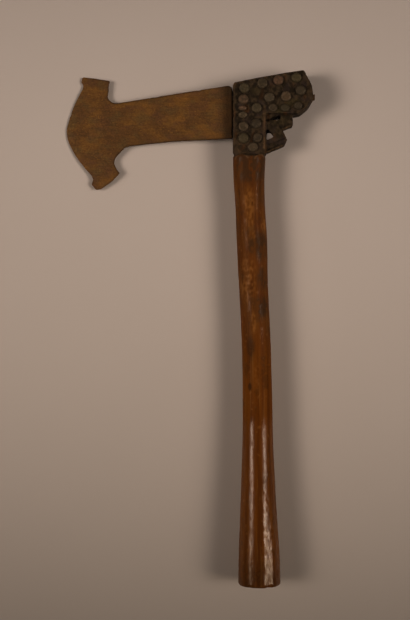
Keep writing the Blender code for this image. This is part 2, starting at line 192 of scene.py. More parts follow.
def step_between(values, low, high):
    """0 below low, 1 above high and a smooth rise between them."""
    share = np.clip((values - low) / (high - low), 0.0, 1.0)
    return share * share * (3.0 - 2.0 * share)


def fall_between(values, low, high):
    return 1.0 - step_between(values, low, high)


def lumps(points, size, seed, stretch=(1.0, 1.0, 1.0)):
    """Smooth noise from about -1 to 1 at points in mm."""
    places = points / (np.array(stretch) * size) + np.array((17.3, 5.1, 29.7)) * seed
    return np.array([noise.noise(place) for place in places.tolist()])


def patch(points, places):
    """How far each point lies inside soft oval patches on the front, from 0 to their strength."""
    share = np.zeros(len(points))
    for x, y, wide, long, strength in places:
        away = np.hypot((points[:, 0] - x) / wide, (points[:, 1] - y) / long)
        share = np.maximum(share, strength * fall_between(away, 0.45, 1.15))
    return share * step_between(points[:, 2], -3.0, 4.0)


def read_points(mesh, field="co"):
    values = np.empty(len(mesh.vertices) * 3)
    if field == "co":
        mesh.vertices.foreach_get("co", values)
    else:
        mesh.vertex_normals.foreach_get("vector", values)
    return values.reshape(-1, 3)


def bend_of(mesh):
    """How sharply each point of a mesh in mm bends outwards, averaged over the edges that meet there."""
    ends = np.empty(len(mesh.edges) * 2, np.int32)
    mesh.edges.foreach_get("vertices", ends)
    a, b = ends.reshape(-1, 2).T
    points = read_points(mesh)
    normals = read_points(mesh, "normal")
    along = points[b] - points[a]
    bend = ((normals[b] - normals[a]) * along).sum(1) / np.maximum((along * along).sum(1), 1e-9)
    count = len(points)
    meeting = np.maximum(np.bincount(a, minlength=count) + np.bincount(b, minlength=count), 1)
    for _ in range(3):
        at_points = (np.bincount(a, bend, count) + np.bincount(b, bend, count)) / meeting
        bend = (at_points[a] + at_points[b]) / 2.0
    return at_points


def keep_values(mesh, name, values):
    kind = "FLOAT" if values.ndim == 1 else "FLOAT_VECTOR"
    field = "value" if values.ndim == 1 else "vector"
    attribute = mesh.attributes.new(name, kind, "POINT")
    attribute.data.foreach_set(field, values.astype(np.float32).ravel())


def drawn_copy(node_name):
    """A merged copy of a CAD node's mesh, in mm and turned into the drawing frame of the axe."""
    mesh = frame["nodes"][node_name].data.copy()
    work = bmesh.new()
    work.from_mesh(mesh)
    bmesh.ops.remove_doubles(work, verts=work.verts, dist=WELD_DISTANCE)
    bmesh.ops.recalc_face_normals(work, faces=work.faces)
    work.transform(Matrix.Scale(1.0 / MM, 4) @ to_drawing)
    work.to_mesh(mesh)
    work.free()
    for attribute in [a.name for a in mesh.attributes if not a.is_required and not a.is_internal]:
        mesh.attributes.remove(mesh.attributes[attribute])
    mesh.materials.clear()
    return mesh


def new_piece(name, mesh):
    piece = bpy.data.objects.new(name, mesh)
    bpy.context.scene.collection.objects.link(piece)
    return piece


def apply_modifiers(piece):
    bpy.context.view_layer.update()
    graph = bpy.context.evaluated_depsgraph_get()
    finished = bpy.data.meshes.new_from_object(piece.evaluated_get(graph))
    piece.modifiers.clear()
    piece.data = finished


def place_piece(piece):
    """Moves a mesh in mm from the drawing frame to where the axe lies, and shades it smooth.

    What would stand out of the box of the solids, as where the axe touches the sheet, is pressed flat.
    """
    piece.data.transform(from_drawing @ Matrix.Scale(MM, 4))
    points = np.clip(read_points(piece.data), cad_box[0], cad_box[1])
    piece.data.vertices.foreach_set("co", points.ravel())
    piece.data.shade_smooth()
    piece.data.update()


# In the drawing frame X runs from the cutting edge to the back of the head, Y up the haft and Z out of
# the front face
mounts = {mount["name"]: mount for mount in frame["record"]["mounts"]}
up_haft = -Vector(mounts["butt_end"]["axis"])
cheek = Vector(mounts["blade_cheek"]["axis"])
to_back = (up_haft.cross(cheek) - CHEEK_SLOPE * cheek).normalized()
from_drawing = Matrix((to_back, up_haft, to_back.cross(up_haft))).transposed().to_4x4()
from_drawing.translation = Vector(mounts["butt_end"]["pos_m"]) - from_drawing.to_3x3() @ BUTT_CENTRE
to_drawing = from_drawing.inverted()

tack_nodes = {}
tack_places = {}
for face_name in ("front", "back"):
    tack_nodes[face_name] = sorted(name for name in frame["nodes"] if name.startswith("tack_" + face_name))
    for node_name in tack_nodes[face_name]:
        vertices = frame["nodes"][node_name].data.vertices
        head = np.array([to_drawing @ vertex.co for vertex in vertices]) / MM
        low, high = head.min(0), head.max(0)
        tack_places[node_name] = ((low + high) / 2.0, high - low)

wood = bmesh.new()
wood.from_mesh(drawn_copy("haft"))
for middle, _ in tack_places.values():
    height = math.copysign(HEAD_HALF - PLUG_DEPTH / 2.0 - PLUG_SUNK, middle[2])
    bmesh.ops.create_cone(
        wood,
        cap_ends=True,
        segments=PLUG_SIDES,
        radius1=PLUG_RADIUS,
        radius2=PLUG_RADIUS,
        depth=PLUG_DEPTH,
        matrix=Matrix.Translation((middle[0], middle[1], height)),
    )
wood_mesh = bpy.data.meshes.new("haft_carved")
wood.to_mesh(wood_mesh)
wood.free()
haft = new_piece("haft_carved", wood_mesh)
remesh = haft.modifiers.new("close_grain", "REMESH")
remesh.mode = "VOXEL"
remesh.voxel_size = WOOD_VOXEL
apply_modifiers(haft)
rough = read_points(haft.data)
headward = step_between(rough[:, 1], HEAD_FOOT - 6.0, HEAD_FOOT - 1.0)
for name, share, rounds in (
    ("grip", (1.0 - headward) * step_between(rough[:, 1], *BUTT_RIM_ENDS), GRIP_SMOOTHING),
    ("head", headward, HEAD_SMOOTHING),
):
    group = haft.vertex_groups.new(name=name)
    for level in range(1, SMOOTHING_LEVELS + 1):
        chosen = np.flatnonzero(np.round(share * SMOOTHING_LEVELS) == level)
        group.add(chosen.tolist(), level / SMOOTHING_LEVELS, "REPLACE")
    smooth = haft.modifiers.new(name + "_rubbed", "SMOOTH")
    smooth.factor = 0.5
    smooth.iterations = rounds
    smooth.vertex_group = name
apply_modifiers(haft)
haft.vertex_groups.clear()

points = read_points(haft.data)
normals = read_points(haft.data, "normal")
across, up, out = points.T
on_grip = fall_between(up, HEAD_FOOT - 3.0, HEAD_FOOT + 1.0)
on_head = 1.0 - on_grip
on_front = step_between(out, 6.0, 9.0)
edges = step_between(bend_of(haft.data), *EDGE_BEND) * on_head

# On the grip: knife shavings, dents, and near the butt a worn flat with small pits
relief = SHAVING_DEPTH * on_grip * (lumps(points, *BROAD_SHAVINGS) - 0.2)
relief += 0.5 * SHAVING_DEPTH * on_grip * lumps(points, *NARROW_SHAVINGS)
relief -= DENT_DEPTH * step_between(lumps(points, *DENTS), 0.35, 0.65)
pitted = fall_between(up, *PITTED_ENDS) * step_between(across, *PITTED_SIDE) * (out > 0.0)
relief += PITTED_DEPTH * pitted * lumps(points, *SMALL_PITS)
places_up, drifts = np.array(FIBRE_DRIFT).T
from_middle = across - np.interp(up, places_up, drifts)
around = np.clip(np.arctan2(from_middle, out) - FLAT_DIRECTION, -FLAT_REACH, FLAT_REACH)
cut_flat = np.hypot(from_middle, out) * (1.0 - math.cos(FLAT_REACH) / np.cos(around))
relief -= cut_flat * fall_between(up, *FLAT_ENDS)

# On the head: knife cuts, chipped and nicked edges, a nail hole and the rings that lost tacks left
relief -= CARVING_DEPTH * on_head * (0.5 + 0.5 * lumps(points, *KNIFE_CUTS))
relief -= 0.55 * CARVING_DEPTH * on_head * (0.5 + 0.5 * lumps(points, *SMALL_CUTS))
relief -= CHIP_DEPTH * edges * step_between(lumps(points, *CHIPS), 0.12, 0.5)
for x, y, radius in EDGE_NICKS:
    away = np.hypot(across - x, up - y) / radius
    relief -= NICK_DEPTH * fall_between(away, 0.3, 1.2) * step_between(out, 2.0, 8.0)
x, y, radius = NAIL_HOLE
away = np.hypot(across - x, up - y) / radius
relief -= NAIL_HOLE_DEPTH * fall_between(away, 0.4, 1.1) * on_front
for x, y, radius in LOST_RINGS:
    away = np.abs(np.hypot(across - x, up - y) - radius)
    relief -= LOST_RING_DEPTH * fall_between(away, 0.2, 0.9) * on_front
x, y, radius, depth = GRIP_NICK
away = np.hypot(across - x, (up - y) * 1.6) / radius
relief -= depth * fall_between(away, 0.3, 1.2)

# On the brace: carved lines
on_brace = (across > BRACE_LEFT) * (up < -5.0) * step_between(out, 5.0, 6.0)
groove = np.zeros(len(points))
for x, y, end_x, end_y, strength in BRACE_GROOVES:
    along = np.array((end_x - x, end_y - y))
    share = np.clip(((across - x) * along[0] + (up - y) * along[1]) / (along @ along), 0.0, 1.0)
    away = np.hypot(across - x - share * along[0], up - y - share * along[1])
    groove = np.maximum(groove, strength * fall_between(away, 0.2, 1.1))
groove *= on_brace
relief -= GROOVE_DEPTH * groove

# Under the tacks the wood stands a little proud, and at the shoulder it is cut back in scallops
under_tack = np.zeros(len(points))
for middle, size in tack_places.values():
    away = np.hypot((across - middle[0]) / size[0], (up - middle[1]) / size[1]) * 2.0
    under_tack = np.maximum(under_tack, (out * middle[2] > 0.0) * fall_between(away, 0.98, 1.22))
under_tack *= on_head
relief = relief * (1.0 - under_tack) + RISE_UNDER_TACKS * under_tack
scallop = np.full(len(points), np.inf)
for x, y, radius in SHOULDER_SCALLOPS:
    scallop = np.minimum(scallop, np.hypot(across - x, up - y) - radius)
cut_here = step_between(up, HEAD_FOOT - 7.0, HEAD_FOOT - 3.0) * (out > 8.0)
relief -= SCALLOP_DEPTH * cut_here * step_between(scallop, 0.0, 0.8)
points += normals * relief[:, None]
haft.data.vertices.foreach_set("co", points.ravel())
haft.data.update()

# Where the wood is dyed, stained or bright; bright is partly tan wood, partly painted sheen and highlight
across, up, out = points.T
mottle = lumps(points, *MOTTLE)
speckle = lumps(points, *SPECKLE)
blotch = lumps(points, *BLOTCH)
bend = bend_of(haft.data)
dye = step_between(up + 1.2 * mottle + 0.7 * speckle, HEAD_FOOT - 4.0, HEAD_FOOT - 0.6)
dye *= np.where(out > 6.0, step_between(scallop, -0.4, 0.5), 1.0)
dye *= 1.0 - 0.3 * step_between(mottle, 0.2, 0.7)
stain = patch(points, STAINS) * (0.35 + 0.65 * step_between(mottle + 0.7 * speckle, -0.5, 0.2))
stain = np.maximum(stain, 0.45 * on_grip * step_between(blotch + 0.4 * speckle, 0.28, 0.6))
x, y, wide, long = KNOT
away = np.hypot((across - x) / wide, (up - y) / long)
stain = np.maximum(stain, 0.9 * fall_between(away, 0.5, 1.1) * (out > 0.0))
bright = patch(points, BRIGHT_PATCHES) * step_between(speckle + 0.5 * mottle, -0.4, 0.45)
bright = np.maximum(bright, 0.55 * on_grip * step_between(0.5 * mottle + speckle, 0.36, 0.75))
# A painted highlight on the butt's rounded rim
butt_rim_highlight = fall_between(up, *BUTT_RIM_ENDS) * step_between(bend, *EDGE_BEND)
bright = np.maximum(bright, 0.7 * butt_rim_highlight * step_between(mottle, -0.4, 0.2))

# Where edges are worn pale: the column's right edge, sharp edges and lips of lost rings. The rim of
# the scallops at the shoulder gets a painted highlight
x, low, high = WORN_COLUMN_EDGE
worn_edge = fall_between(np.abs(across - x - 0.4 * mottle), 0.7, 1.9)
worn_edge *= 0.75 + 0.25 * step_between(blotch, -0.3, 0.3)
worn_edge *= on_front * step_between(up, low - 2.0, low + 2.0) * fall_between(up, high - 1.0, high + 2.0)
wear = step_between(bend, *WORN_BEND) * step_between(mottle + 0.5 * speckle, -0.5, 0.3) * on_head
under_overhang = step_between(up, -10.0, -8.0) * fall_between(up, -5.5, -4.5)
wear *= 1.0 - 0.9 * (across > BRACE_LEFT) * under_overhang
rubbed_edge = worn_edge * (0.6 + 0.4 * step_between(mottle + 0.6 * speckle, -0.6, 0.2))
wear = np.maximum(0.55 * wear, rubbed_edge)
for x, y, radius in LOST_RINGS:
    away = np.abs(np.hypot(across - x, up - y) - radius - 0.7)
    lip = fall_between(away, 0.1, 0.7) * step_between(speckle, -0.3, 0.2) * on_front
    wear = np.maximum(wear, 0.6 * lip)
# A painted highlight along the rim of the shoulder's scallops
scallop_rim_highlight = fall_between(np.abs(scallop + 0.2), 0.4, 1.3) * (out > 8.0) * (up > HEAD_FOOT - 4.0)
wear = np.maximum(wear, 0.9 * scallop_rim_highlight)

# Where painted shade darkens the carved lines and the walls of the gaps, and where hands have
# polished the wood
hollow = 0.75 * groove
for low_x, high_x, low_y, high_y in GAP_PLACES:
    beside = (across > low_x) * (across < high_x) * (up > low_y) * (up < high_y)
    hollow = np.maximum(hollow, beside * step_between(BRACE_FACE - out, 0.9, 2.2) * (out > -5.0))
rubbed_up = up + 6.0 * mottle + 3.0 * speckle
polish = fall_between(rubbed_up, POLISH_STARTS - 6.0, POLISH_STARTS + 12.0)
polish *= 0.75 + 0.25 * pitted
faint_gloss = on_grip * step_between(up, *FAINT_GLOSS_ENDS)
faint_gloss *= step_between(mottle + 0.8 * speckle, -0.2, 0.5)
polish = np.maximum(polish, 0.13 * faint_gloss)
fibre_place = points.copy()
fibre_place[:, 0] -= np.interp(up, places_up, drifts)
for name, values in (
    ("fibre_place", fibre_place * MM),
    ("dye", dye),
    ("stain", stain),
    ("bright", bright),
    ("wear", wear),
    ("polish", polish),
    ("hollow", hollow),
    ("handled", fall_between(up + 5.0 * mottle, *HANDLED_ENDS)),
    ("olive", patch(points, OLIVE_PATCHES)),
    ("brown", patch(points, BROWN_PATCHES)),
):
    keep_values(haft.data, name, values)
place_piece(haft)


def new_finish(name):
    """A node material and the tree that its patterns are added to."""
    material = bpy.data.materials.new(name)
    material.use_nodes = True
    return material, material.node_tree


def add_node(tree, kind, inputs=(), **settings):
    made = tree.nodes.new(kind)
    for key, value in settings.items():
        setattr(made, key, value)
    for key, value in dict(inputs).items():
        if isinstance(value, bpy.types.NodeSocket):
            tree.links.new(value, made.inputs[key])
        else:
            made.inputs[key].default_value = value
    return made


def kept_value(tree, name):
    return add_node(tree, "ShaderNodeAttribute", attribute_name=name)


def pattern(tree, place, scale, detail, low, high, offset=(0.0, 0.0, 0.0)):
    """Noise spread over 0 to 1 between two of its levels. Scale is lumps per metre along each axis."""
    mapped = add_node(tree, "ShaderNodeMapping", {"Vector": place, "Location": offset, "Scale": scale})
    values = {"Vector": mapped.outputs[0], "Scale": 1.0, "Detail": detail}
    made = add_node(tree, "ShaderNodeTexNoise", values)
    return spread(tree, made.outputs[0], low, high)


def spread(tree, value, low, high, start=0.0, end=1.0):
    limits = {"Value": value, "From Min": low, "From Max": high, "To Min": start, "To Max": end}
    return add_node(tree, "ShaderNodeMapRange", limits, interpolation_type="SMOOTHSTEP").outputs[0]


def times(tree, first, second):
    return add_node(tree, "ShaderNodeMath", {0: first, 1: second}, operation="MULTIPLY").outputs[0]


def tinted(tree, share, under, over):
    """One colour laid over another by a share from 0 to 1."""
    under = under if isinstance(under, bpy.types.NodeSocket) else (*under, 1.0)
    over = over if isinstance(over, bpy.types.NodeSocket) else (*over, 1.0)
    made = add_node(tree, "ShaderNodeMix", {0: share, 6: under, 7: over}, data_type="RGBA")
    return made.outputs[2]


def bumped(tree, height, strength, depth, under=None):
    values = {"Height": height, "Strength": strength, "Distance": depth}
    if under:
        values["Normal"] = under
    return add_node(tree, "ShaderNodeBump", values).outputs[0]


HEARTWOOD = (0.170, 0.069, 0.013)
FIBRE_DARK = (0.108, 0.039, 0.008)
FIBRE_LIGHT = (0.236, 0.108, 0.025)
RED_WOOD = (0.175, 0.052, 0.008)
HANDLED_LIGHT = (0.226, 0.081, 0.005)
HANDLED_DARK = (0.112, 0.033, 0.002)
HANDLED_GOLD = (0.330, 0.170, 0.040)
PALE_WOOD_AND_SHEEN = (0.330, 0.160, 0.042)
GREY_STAIN = (0.074, 0.041, 0.019)
BROWN_STAIN = (0.058, 0.024, 0.004)
BLACK_DYE = (0.032, 0.024, 0.015)
BROWN_DYE = (0.080, 0.059, 0.036)
PURPLE_DYE = (0.060, 0.044, 0.040)
OLIVE_DYE = (0.074, 0.060, 0.028)
WOOD_SHOWING = (0.082, 0.057, 0.033)
WORN_DYE_AND_HIGHLIGHT = (0.205, 0.132, 0.072)
CREVICE_SHADE = (0.006, 0.004, 0.003)

wood_finish, tree = new_finish("oiled_wood")
shader = tree.nodes["Principled BSDF"]
place = kept_value(tree, "fibre_place").outputs["Vector"]
fibres = pattern(tree, place, (900.0, 38.0, 900.0), 3.0, 0.30, 0.72)
streaks = pattern(tree, place, (230.0, 14.0, 230.0), 4.0, 0.34, 0.68, (3.0, 1.0, 7.0))
blotches = pattern(tree, place, (95.0, 34.0, 95.0), 5.0, 0.40, 0.66, (9.0, 4.0, 2.0))
specks = pattern(tree, place, (900.0, 600.0, 900.0), 3.0, 0.46, 0.70, (1.0, 8.0, 5.0))
dark_bands = pattern(tree, place, (300.0, 9.0, 300.0), 4.0, 0.36, 0.66, (1.0, 5.0, 2.0))
colour = tinted(tree, fibres, FIBRE_DARK, HEARTWOOD)
colour = tinted(tree, times(tree, streaks, 0.45), colour, FIBRE_LIGHT)
colour = tinted(tree, times(tree, blotches, 0.35), colour, RED_WOOD)
handled_share = kept_value(tree, "handled").outputs["Fac"]
gold_lines = pattern(tree, place, (420.0, 11.0, 420.0), 4.0, 0.54, 0.72, (8.0, 1.0, 6.0))
handled = tinted(tree, times(tree, dark_bands, 0.75), HANDLED_LIGHT, HANDLED_DARK)
handled = tinted(tree, times(tree, gold_lines, 0.55), handled, HANDLED_GOLD)
colour = tinted(tree, times(tree, handled_share, 0.8), colour, handled)
# Tan wood and painted sheen, with a painted highlight on the butt's rim
bright_share = kept_value(tree, "bright").outputs["Fac"]
colour = tinted(tree, times(tree, bright_share, 0.70), colour, PALE_WOOD_AND_SHEEN)
stain_share = kept_value(tree, "stain").outputs["Fac"]
stain_colour = tinted(tree, handled_share, GREY_STAIN, BROWN_STAIN)
colour = tinted(tree, times(tree, stain_share, 0.85), colour, stain_colour)
crust = pattern(tree, place, (330.0, 260.0, 330.0), 6.0, 0.40, 0.64, (2.0, 2.0, 9.0))
purple = pattern(tree, place, (120.0, 120.0, 120.0), 4.0, 0.50, 0.64, (5.0, 7.0, 1.0))
dyed = tinted(tree, crust, BLACK_DYE, BROWN_DYE)
dyed = tinted(tree, times(tree, purple, 0.6), dyed, PURPLE_DYE)
dyed = tinted(tree, times(tree, kept_value(tree, "olive").outputs["Fac"], 0.8), dyed, OLIVE_DYE)
worn_through = spread(tree, crust, 0.0, 1.0, 0.35, 0.85)
brown_share = times(tree, kept_value(tree, "brown").outputs["Fac"], worn_through)
dyed = tinted(tree, brown_share, dyed, WOOD_SHOWING)
dye_share = kept_value(tree, "dye").outputs["Fac"]
colour = tinted(tree, dye_share, colour, dyed)
wear_specks = spread(tree, specks, 0.0, 1.0, 0.45, 0.9)
wear_and_highlight_share = times(tree, kept_value(tree, "wear").outputs["Fac"], wear_specks)
# Pale worn edges, and a painted highlight on the scallops' rim
colour = tinted(tree, wear_and_highlight_share, colour, WORN_DYE_AND_HIGHLIGHT)
# Painted shade, near black, in the carved lines and on the walls of the gaps
colour = tinted(tree, kept_value(tree, "hollow").outputs["Fac"], colour, CREVICE_SHADE)
tree.links.new(colour, shader.inputs["Base Color"])
tree.links.new(spread(tree, specks, 0.0, 1.0, 0.52, 0.72), shader.inputs["Roughness"])
shader.inputs["Specular IOR Level"].default_value = 0.07
polish_share = kept_value(tree, "polish").outputs["Fac"]
smear = pattern(tree, place, (420.0, 150.0, 420.0), 4.0, 0.36, 0.62, (6.0, 6.0, 1.0))
coat = times(tree, polish_share, spread(tree, smear, 0.0, 1.0, 0.42, 1.0))
tree.links.new(coat, shader.inputs["Coat Weight"])
shader.inputs["Coat Roughness"].default_value = 0.22
grain = bumped(tree, fibres, 0.30, 0.00010)
rough_dye = bumped(tree, times(tree, crust, dye_share), 0.5, 0.00030, grain)
tree.links.new(bumped(tree, specks, 0.30, 0.00012, rough_dye), shader.inputs["Normal"])
haft.data.materials.append(wood_finish)
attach(haft, "root")
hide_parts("haft")

# Blade: one piece of iron forged into a T-shaped plate that thins to its cutting edge, with a tang driven
# through the head until its end shows at the back. It has an even brown rust patina.
PLATE_SPACING = 0.62
ROW_SPACING = 0.88 * PLATE_SPACING
RIM_INSETS = (0.22, 0.62)
GRID_INSET = RIM_INSETS[-1] + 0.42
RIM_ROUNDING = 0.75
RIM_CUTS = 2
RAGGED_EDGE = 0.22
FORGING_DEPTH = 0.13
PIT_DEPTH = 0.16
# Lumps of noise: size in mm, seed, stretch along each axis
RAGGED_LUMPS = (3.2, 21)
NOTCHES = (6.0, 22)
HAMMER_MARKS = (11.0, 23, (1.5, 1.0, 1.0))
SMALL_MARKS = (4.0, 24)
RUST_PITS = (2.4, 25)
HEAD_SHADOW_LUMPS = (6.0, 26)
EDGE_SHADE_LUMPS = (3.0, 27)
GOLDEN_LUMPS = (7.0, 28)
NOISE_HEIGHT = 9.0
PROBE_HEIGHT = 30.0
PROBE_NUDGE = 0.12
PLATE_MIDDLE = Vector((-60.0, -7.0))
# Where the tang starts and ends: x, lowest y, highest y, thickness
TANG_SHOULDER = (-22.0, -10.0, 7.0, 3.2)
TANG_END = (57.8, 7.2, 11.7, 3.8)
TANG_CUTS = 4
# Soft oval patches: x, y, half width, half length, strength
GOLDEN_AREAS = (
    (-141.0, -10.0, 11.0, 15.0, 0.8),
    (-132.0, 12.0, 9.0, 9.0, 0.4),
    (-76.0, -20.0, 20.0, 7.0, 0.8),
    (-66.0, -2.0, 34.0, 15.0, 0.45),
    (-42.0, -8.0, 16.0, 13.0, 0.7),
    (-148.0, -40.0, 6.0, 14.0, 0.7),
    (-112.0, -8.0, 12.0, 10.0, 0.4),
)


def outline_of(mesh):
    """The largest loop round the faces of a mesh that look out of the face of the axe."""
    work = bmesh.new()
    work.from_mesh(mesh)
    work.normal_update()
    follows = {}
    for edge in work.edges:
        if len(edge.link_faces) != 2:
            continue
        looks = [face.normal.z > 0.3 for face in edge.link_faces]
        if looks[0] != looks[1]:
            lit = edge.link_faces[looks.index(True)]
            loop = next(loop for loop in lit.loops if loop.edge == edge)
            follows[tuple(loop.vert.co.xy)] = tuple(loop.link_loop_next.vert.co.xy)
    work.free()
    loops = []
    while follows:
        start, after = follows.popitem()
        loop = [start]
        while after in follows:
            loop.append(after)
            after = follows.pop(after)
        loops.append(np.array(loop))
    return max(loops, key=lambda loop: np.ptp(loop[:, 0]) * np.ptp(loop[:, 1]))


def evenly_spaced(loop, spacing):
    points = []
    for here, after in zip(loop, np.roll(loop, -1, 0)):
        count = max(1, round(float(np.hypot(*(after - here))) / spacing))
        points += [here + (after - here) * i / count for i in range(count)]
    return np.array(points)


def distance_to(loop, points):
    """Distance in mm from each point to a closed loop, and whether the point lies inside it."""
    nearest = np.full(len(points), 1e9)
    inside = np.zeros(len(points), bool)
    for here, after in zip(loop, np.roll(loop, -1, 0)):
        side = after - here
        reach = points - here
        share = np.clip(reach @ side / max(side @ side, 1e-12), 0.0, 1.0)
        nearest = np.minimum(nearest, np.hypot(*(reach - share[:, None] * side).T))
        if here[1] != after[1]:
            crosses = (here[1] > points[:, 1]) != (after[1] > points[:, 1])
            meets = here[0] + (points[:, 1] - here[1]) * side[0] / side[1]
            inside ^= crosses & (points[:, 0] < meets)
    return nearest, inside


plate = drawn_copy("blade")
plate_tree = BVHTree.FromPolygons(
    [vertex.co.copy() for vertex in plate.vertices],
    [tuple(face.vertices) for face in plate.polygons],
)
exact = outline_of(plate)
outline = evenly_spaced(exact, PLATE_SPACING)
along = np.roll(outline, -1, 0) - np.roll(outline, 1, 0)
inward = np.stack((-along[:, 1], along[:, 0]), 1) / np.maximum(np.hypot(*along.T), 1e-9)[:, None]
flat = np.column_stack((outline, np.zeros(len(outline))))
ragged = 0.5 + 0.5 * lumps(flat, *RAGGED_LUMPS)
ragged += 1.6 * step_between(lumps(flat, *NOTCHES), 0.38, 0.6)
outline = outline + inward * (RAGGED_EDGE * ragged)[:, None]

# Rows along the outline and a grid inside them, joined into triangles
lows, highs = outline.min(0), outline.max(0)
grid_x = np.arange(lows[0], highs[0], PLATE_SPACING)
grid_y = np.arange(lows[1], highs[1], ROW_SPACING)
columns, rows = np.meshgrid(grid_x, grid_y)
columns[1::2] += PLATE_SPACING / 2.0
grid = np.column_stack((columns.ravel(), rows.ravel()))
away, inside = distance_to(outline, grid)
grid = grid[inside & (away > GRID_INSET)]
rows_in = [outline]
for inset in RIM_INSETS:
    row = outline + inward * inset
    away, inside = distance_to(outline, row)
    rows_in.append(row[inside & (away > 0.93 * inset)])
flat = np.concatenate(rows_in + [grid])
border = list(range(len(outline)))
joined = geometry.delaunay_2d_cdt([Vector(point) for point in flat], [], [border], 1, 1e-5)
flat = np.array(joined[0])
triangles = [face for face in joined[2] if len(face) == 3]
away, _ = distance_to(outline, flat)

# Half the thickness at each point, probed on the plate from above
half = np.empty(len(flat))
for i, point in enumerate(flat):
    nudge = (PLATE_MIDDLE - Vector(point)).normalized() * PROBE_NUDGE
    hit = None
    for reach in (0.0, 1.0, 4.0, 10.0):
        probe = Vector((point[0] + nudge.x * reach, point[1] + nudge.y * reach, PROBE_HEIGHT))
        hit = plate_tree.ray_cast(probe, Vector((0.0, 0.0, -1.0)))[0]
        if hit is not None:
            break
    half[i] = hit.z
rounding = np.minimum(RIM_ROUNDING, 0.6 * half)
turn = np.clip(1.0 - away / rounding, 0.0, 1.0)
half = half - rounding * (1.0 - np.sqrt(1.0 - turn * turn)) * 0.9
faces_of_plate = []
for side in (1.0, -1.0):
    noise_place = np.column_stack((flat, np.full(len(flat), NOISE_HEIGHT * side)))
    hammered = 0.5 + 0.5 * lumps(noise_place, *HAMMER_MARKS)
    hammered += 0.4 * (0.5 + 0.5 * lumps(noise_place, *SMALL_MARKS))
    pitted = step_between(lumps(noise_place, *RUST_PITS), 0.30, 0.62)
    worn = step_between(away, 0.0, 1.6)
    depth = np.minimum(FORGING_DEPTH * hammered + PIT_DEPTH * pitted * worn, 0.35 * half)
    faces_of_plate.append(np.column_stack((flat, side * (half - depth))))

work = bmesh.new()
fronts = [work.verts.new(point) for point in faces_of_plate[0]]
backs = [work.verts.new(point) for point in faces_of_plate[1]]
for a, b, c in triangles:
    work.faces.new((fronts[a], fronts[b], fronts[c]))
    work.faces.new((backs[c], backs[b], backs[a]))
boundary = [edge for edge in work.edges if edge.is_boundary and edge.verts[0].co.z > 0.0]
partner = dict(zip(fronts, backs))
for edge in boundary:
    first = edge.link_loops[0].vert
    second = edge.other_vert(first)
    work.faces.new((second, first, partner[first], partner[second]))
rim = []
for edge in work.edges:
    first, second = edge.verts
    if partner.get(first) is second or partner.get(second) is first:
        rim.append(edge)
bmesh.ops.subdivide_edges(work, edges=rim, cuts=RIM_CUTS, use_grid_fill=True)
bmesh.ops.recalc_face_normals(work, faces=work.faces)
blade_mesh = bpy.data.meshes.new("blade_forged")
work.to_mesh(blade_mesh)
work.free()
blade = new_piece("blade_forged", blade_mesh)

tang = bmesh.new()
corners = []
for x, low, high, thick in (TANG_SHOULDER, TANG_END):
    for y, z in ((low, -thick / 2.0), (high, -thick / 2.0), (high, thick / 2.0), (low, thick / 2.0)):
        corners.append(tang.verts.new((x, y, z)))
tang.faces.new(corners[:4])
tang.faces.new(corners[4:])
for i in range(4):
    tang.faces.new((corners[i], corners[(i + 1) % 4], corners[4 + (i + 1) % 4], corners[4 + i]))
bmesh.ops.recalc_face_normals(tang, faces=tang.faces)
bmesh.ops.subdivide_edges(tang, edges=tang.edges, cuts=TANG_CUTS, use_grid_fill=True)
tang_mesh = bpy.data.meshes.new("tang")
tang.to_mesh(tang_mesh)
tang.free()
tang_piece = new_piece("tang", tang_mesh)
weld_on = blade.modifiers.new("tang_forged_on", "BOOLEAN")
weld_on.operation = "UNION"
weld_on.solver = "MANIFOLD"
weld_on.object = tang_piece
apply_modifiers(blade)
blade.data.materials.clear()
bpy.data.objects.remove(tang_piece, do_unlink=True)

points = read_points(blade.data)
across = points[:, 0]
away, inside = distance_to(outline, points[:, :2])
within = step_between(away + 0.5 * lumps(points, *EDGE_SHADE_LUMPS), 0.2, 1.9) * inside
# rim is painted shade along the plate's edges, root a painted shadow near the head
for name, values in (
    ("rim", step_between(across, -150.0, -136.0) * (1.0 - within)),
    ("root", step_between(across + 1.5 * lumps(points, *HEAD_SHADOW_LUMPS), -33.0, -16.0)),
    ("golden", patch(points, GOLDEN_AREAS) * step_between(lumps(points, *GOLDEN_LUMPS), -0.5, 0.3)),
):
    keep_values(blade.data, name, values)
place_piece(blade)

RUST_BROWN = (0.160, 0.087, 0.032)
RUST_GOLD = (0.262, 0.140, 0.036)
RUST_PURPLE = (0.165, 0.086, 0.046)
PATINA_GREY = (0.160, 0.112, 0.046)
DARK_SCALE_AND_SHADE = (0.070, 0.042, 0.022)
GOLD_FLECK = (0.420, 0.228, 0.062)

iron_finish, tree = new_finish("rusted_iron")
shader = tree.nodes["Principled BSDF"]
place = add_node(tree, "ShaderNodeTexCoord").outputs["Object"]
cloud = pattern(tree, place, (55.0, 95.0, 95.0), 5.0, 0.42, 0.62)
grey = pattern(tree, place, (80.0, 120.0, 120.0), 5.0, 0.46, 0.66, (4.0, 9.0, 1.0))
purple = pattern(tree, place, (90.0, 130.0, 130.0), 5.0, 0.47, 0.66, (8.0, 2.0, 6.0))
freckles = pattern(tree, place, (520.0, 620.0, 620.0), 4.0, 0.42, 0.66, (2.0, 3.0, 5.0))
flecks = pattern(tree, place, (700.0, 900.0, 900.0), 3.0, 0.57, 0.70, (5.0, 1.0, 3.0))
draw_marks = pattern(tree, place, (30.0, 600.0, 600.0), 3.0, 0.38, 0.65, (7.0, 5.0, 2.0))
gold_streaks = pattern(tree, place, (20.0, 300.0, 300.0), 4.0, 0.52, 0.68, (3.0, 8.0, 4.0))
colour = tinted(tree, times(tree, cloud, 0.70), RUST_BROWN, RUST_GOLD)
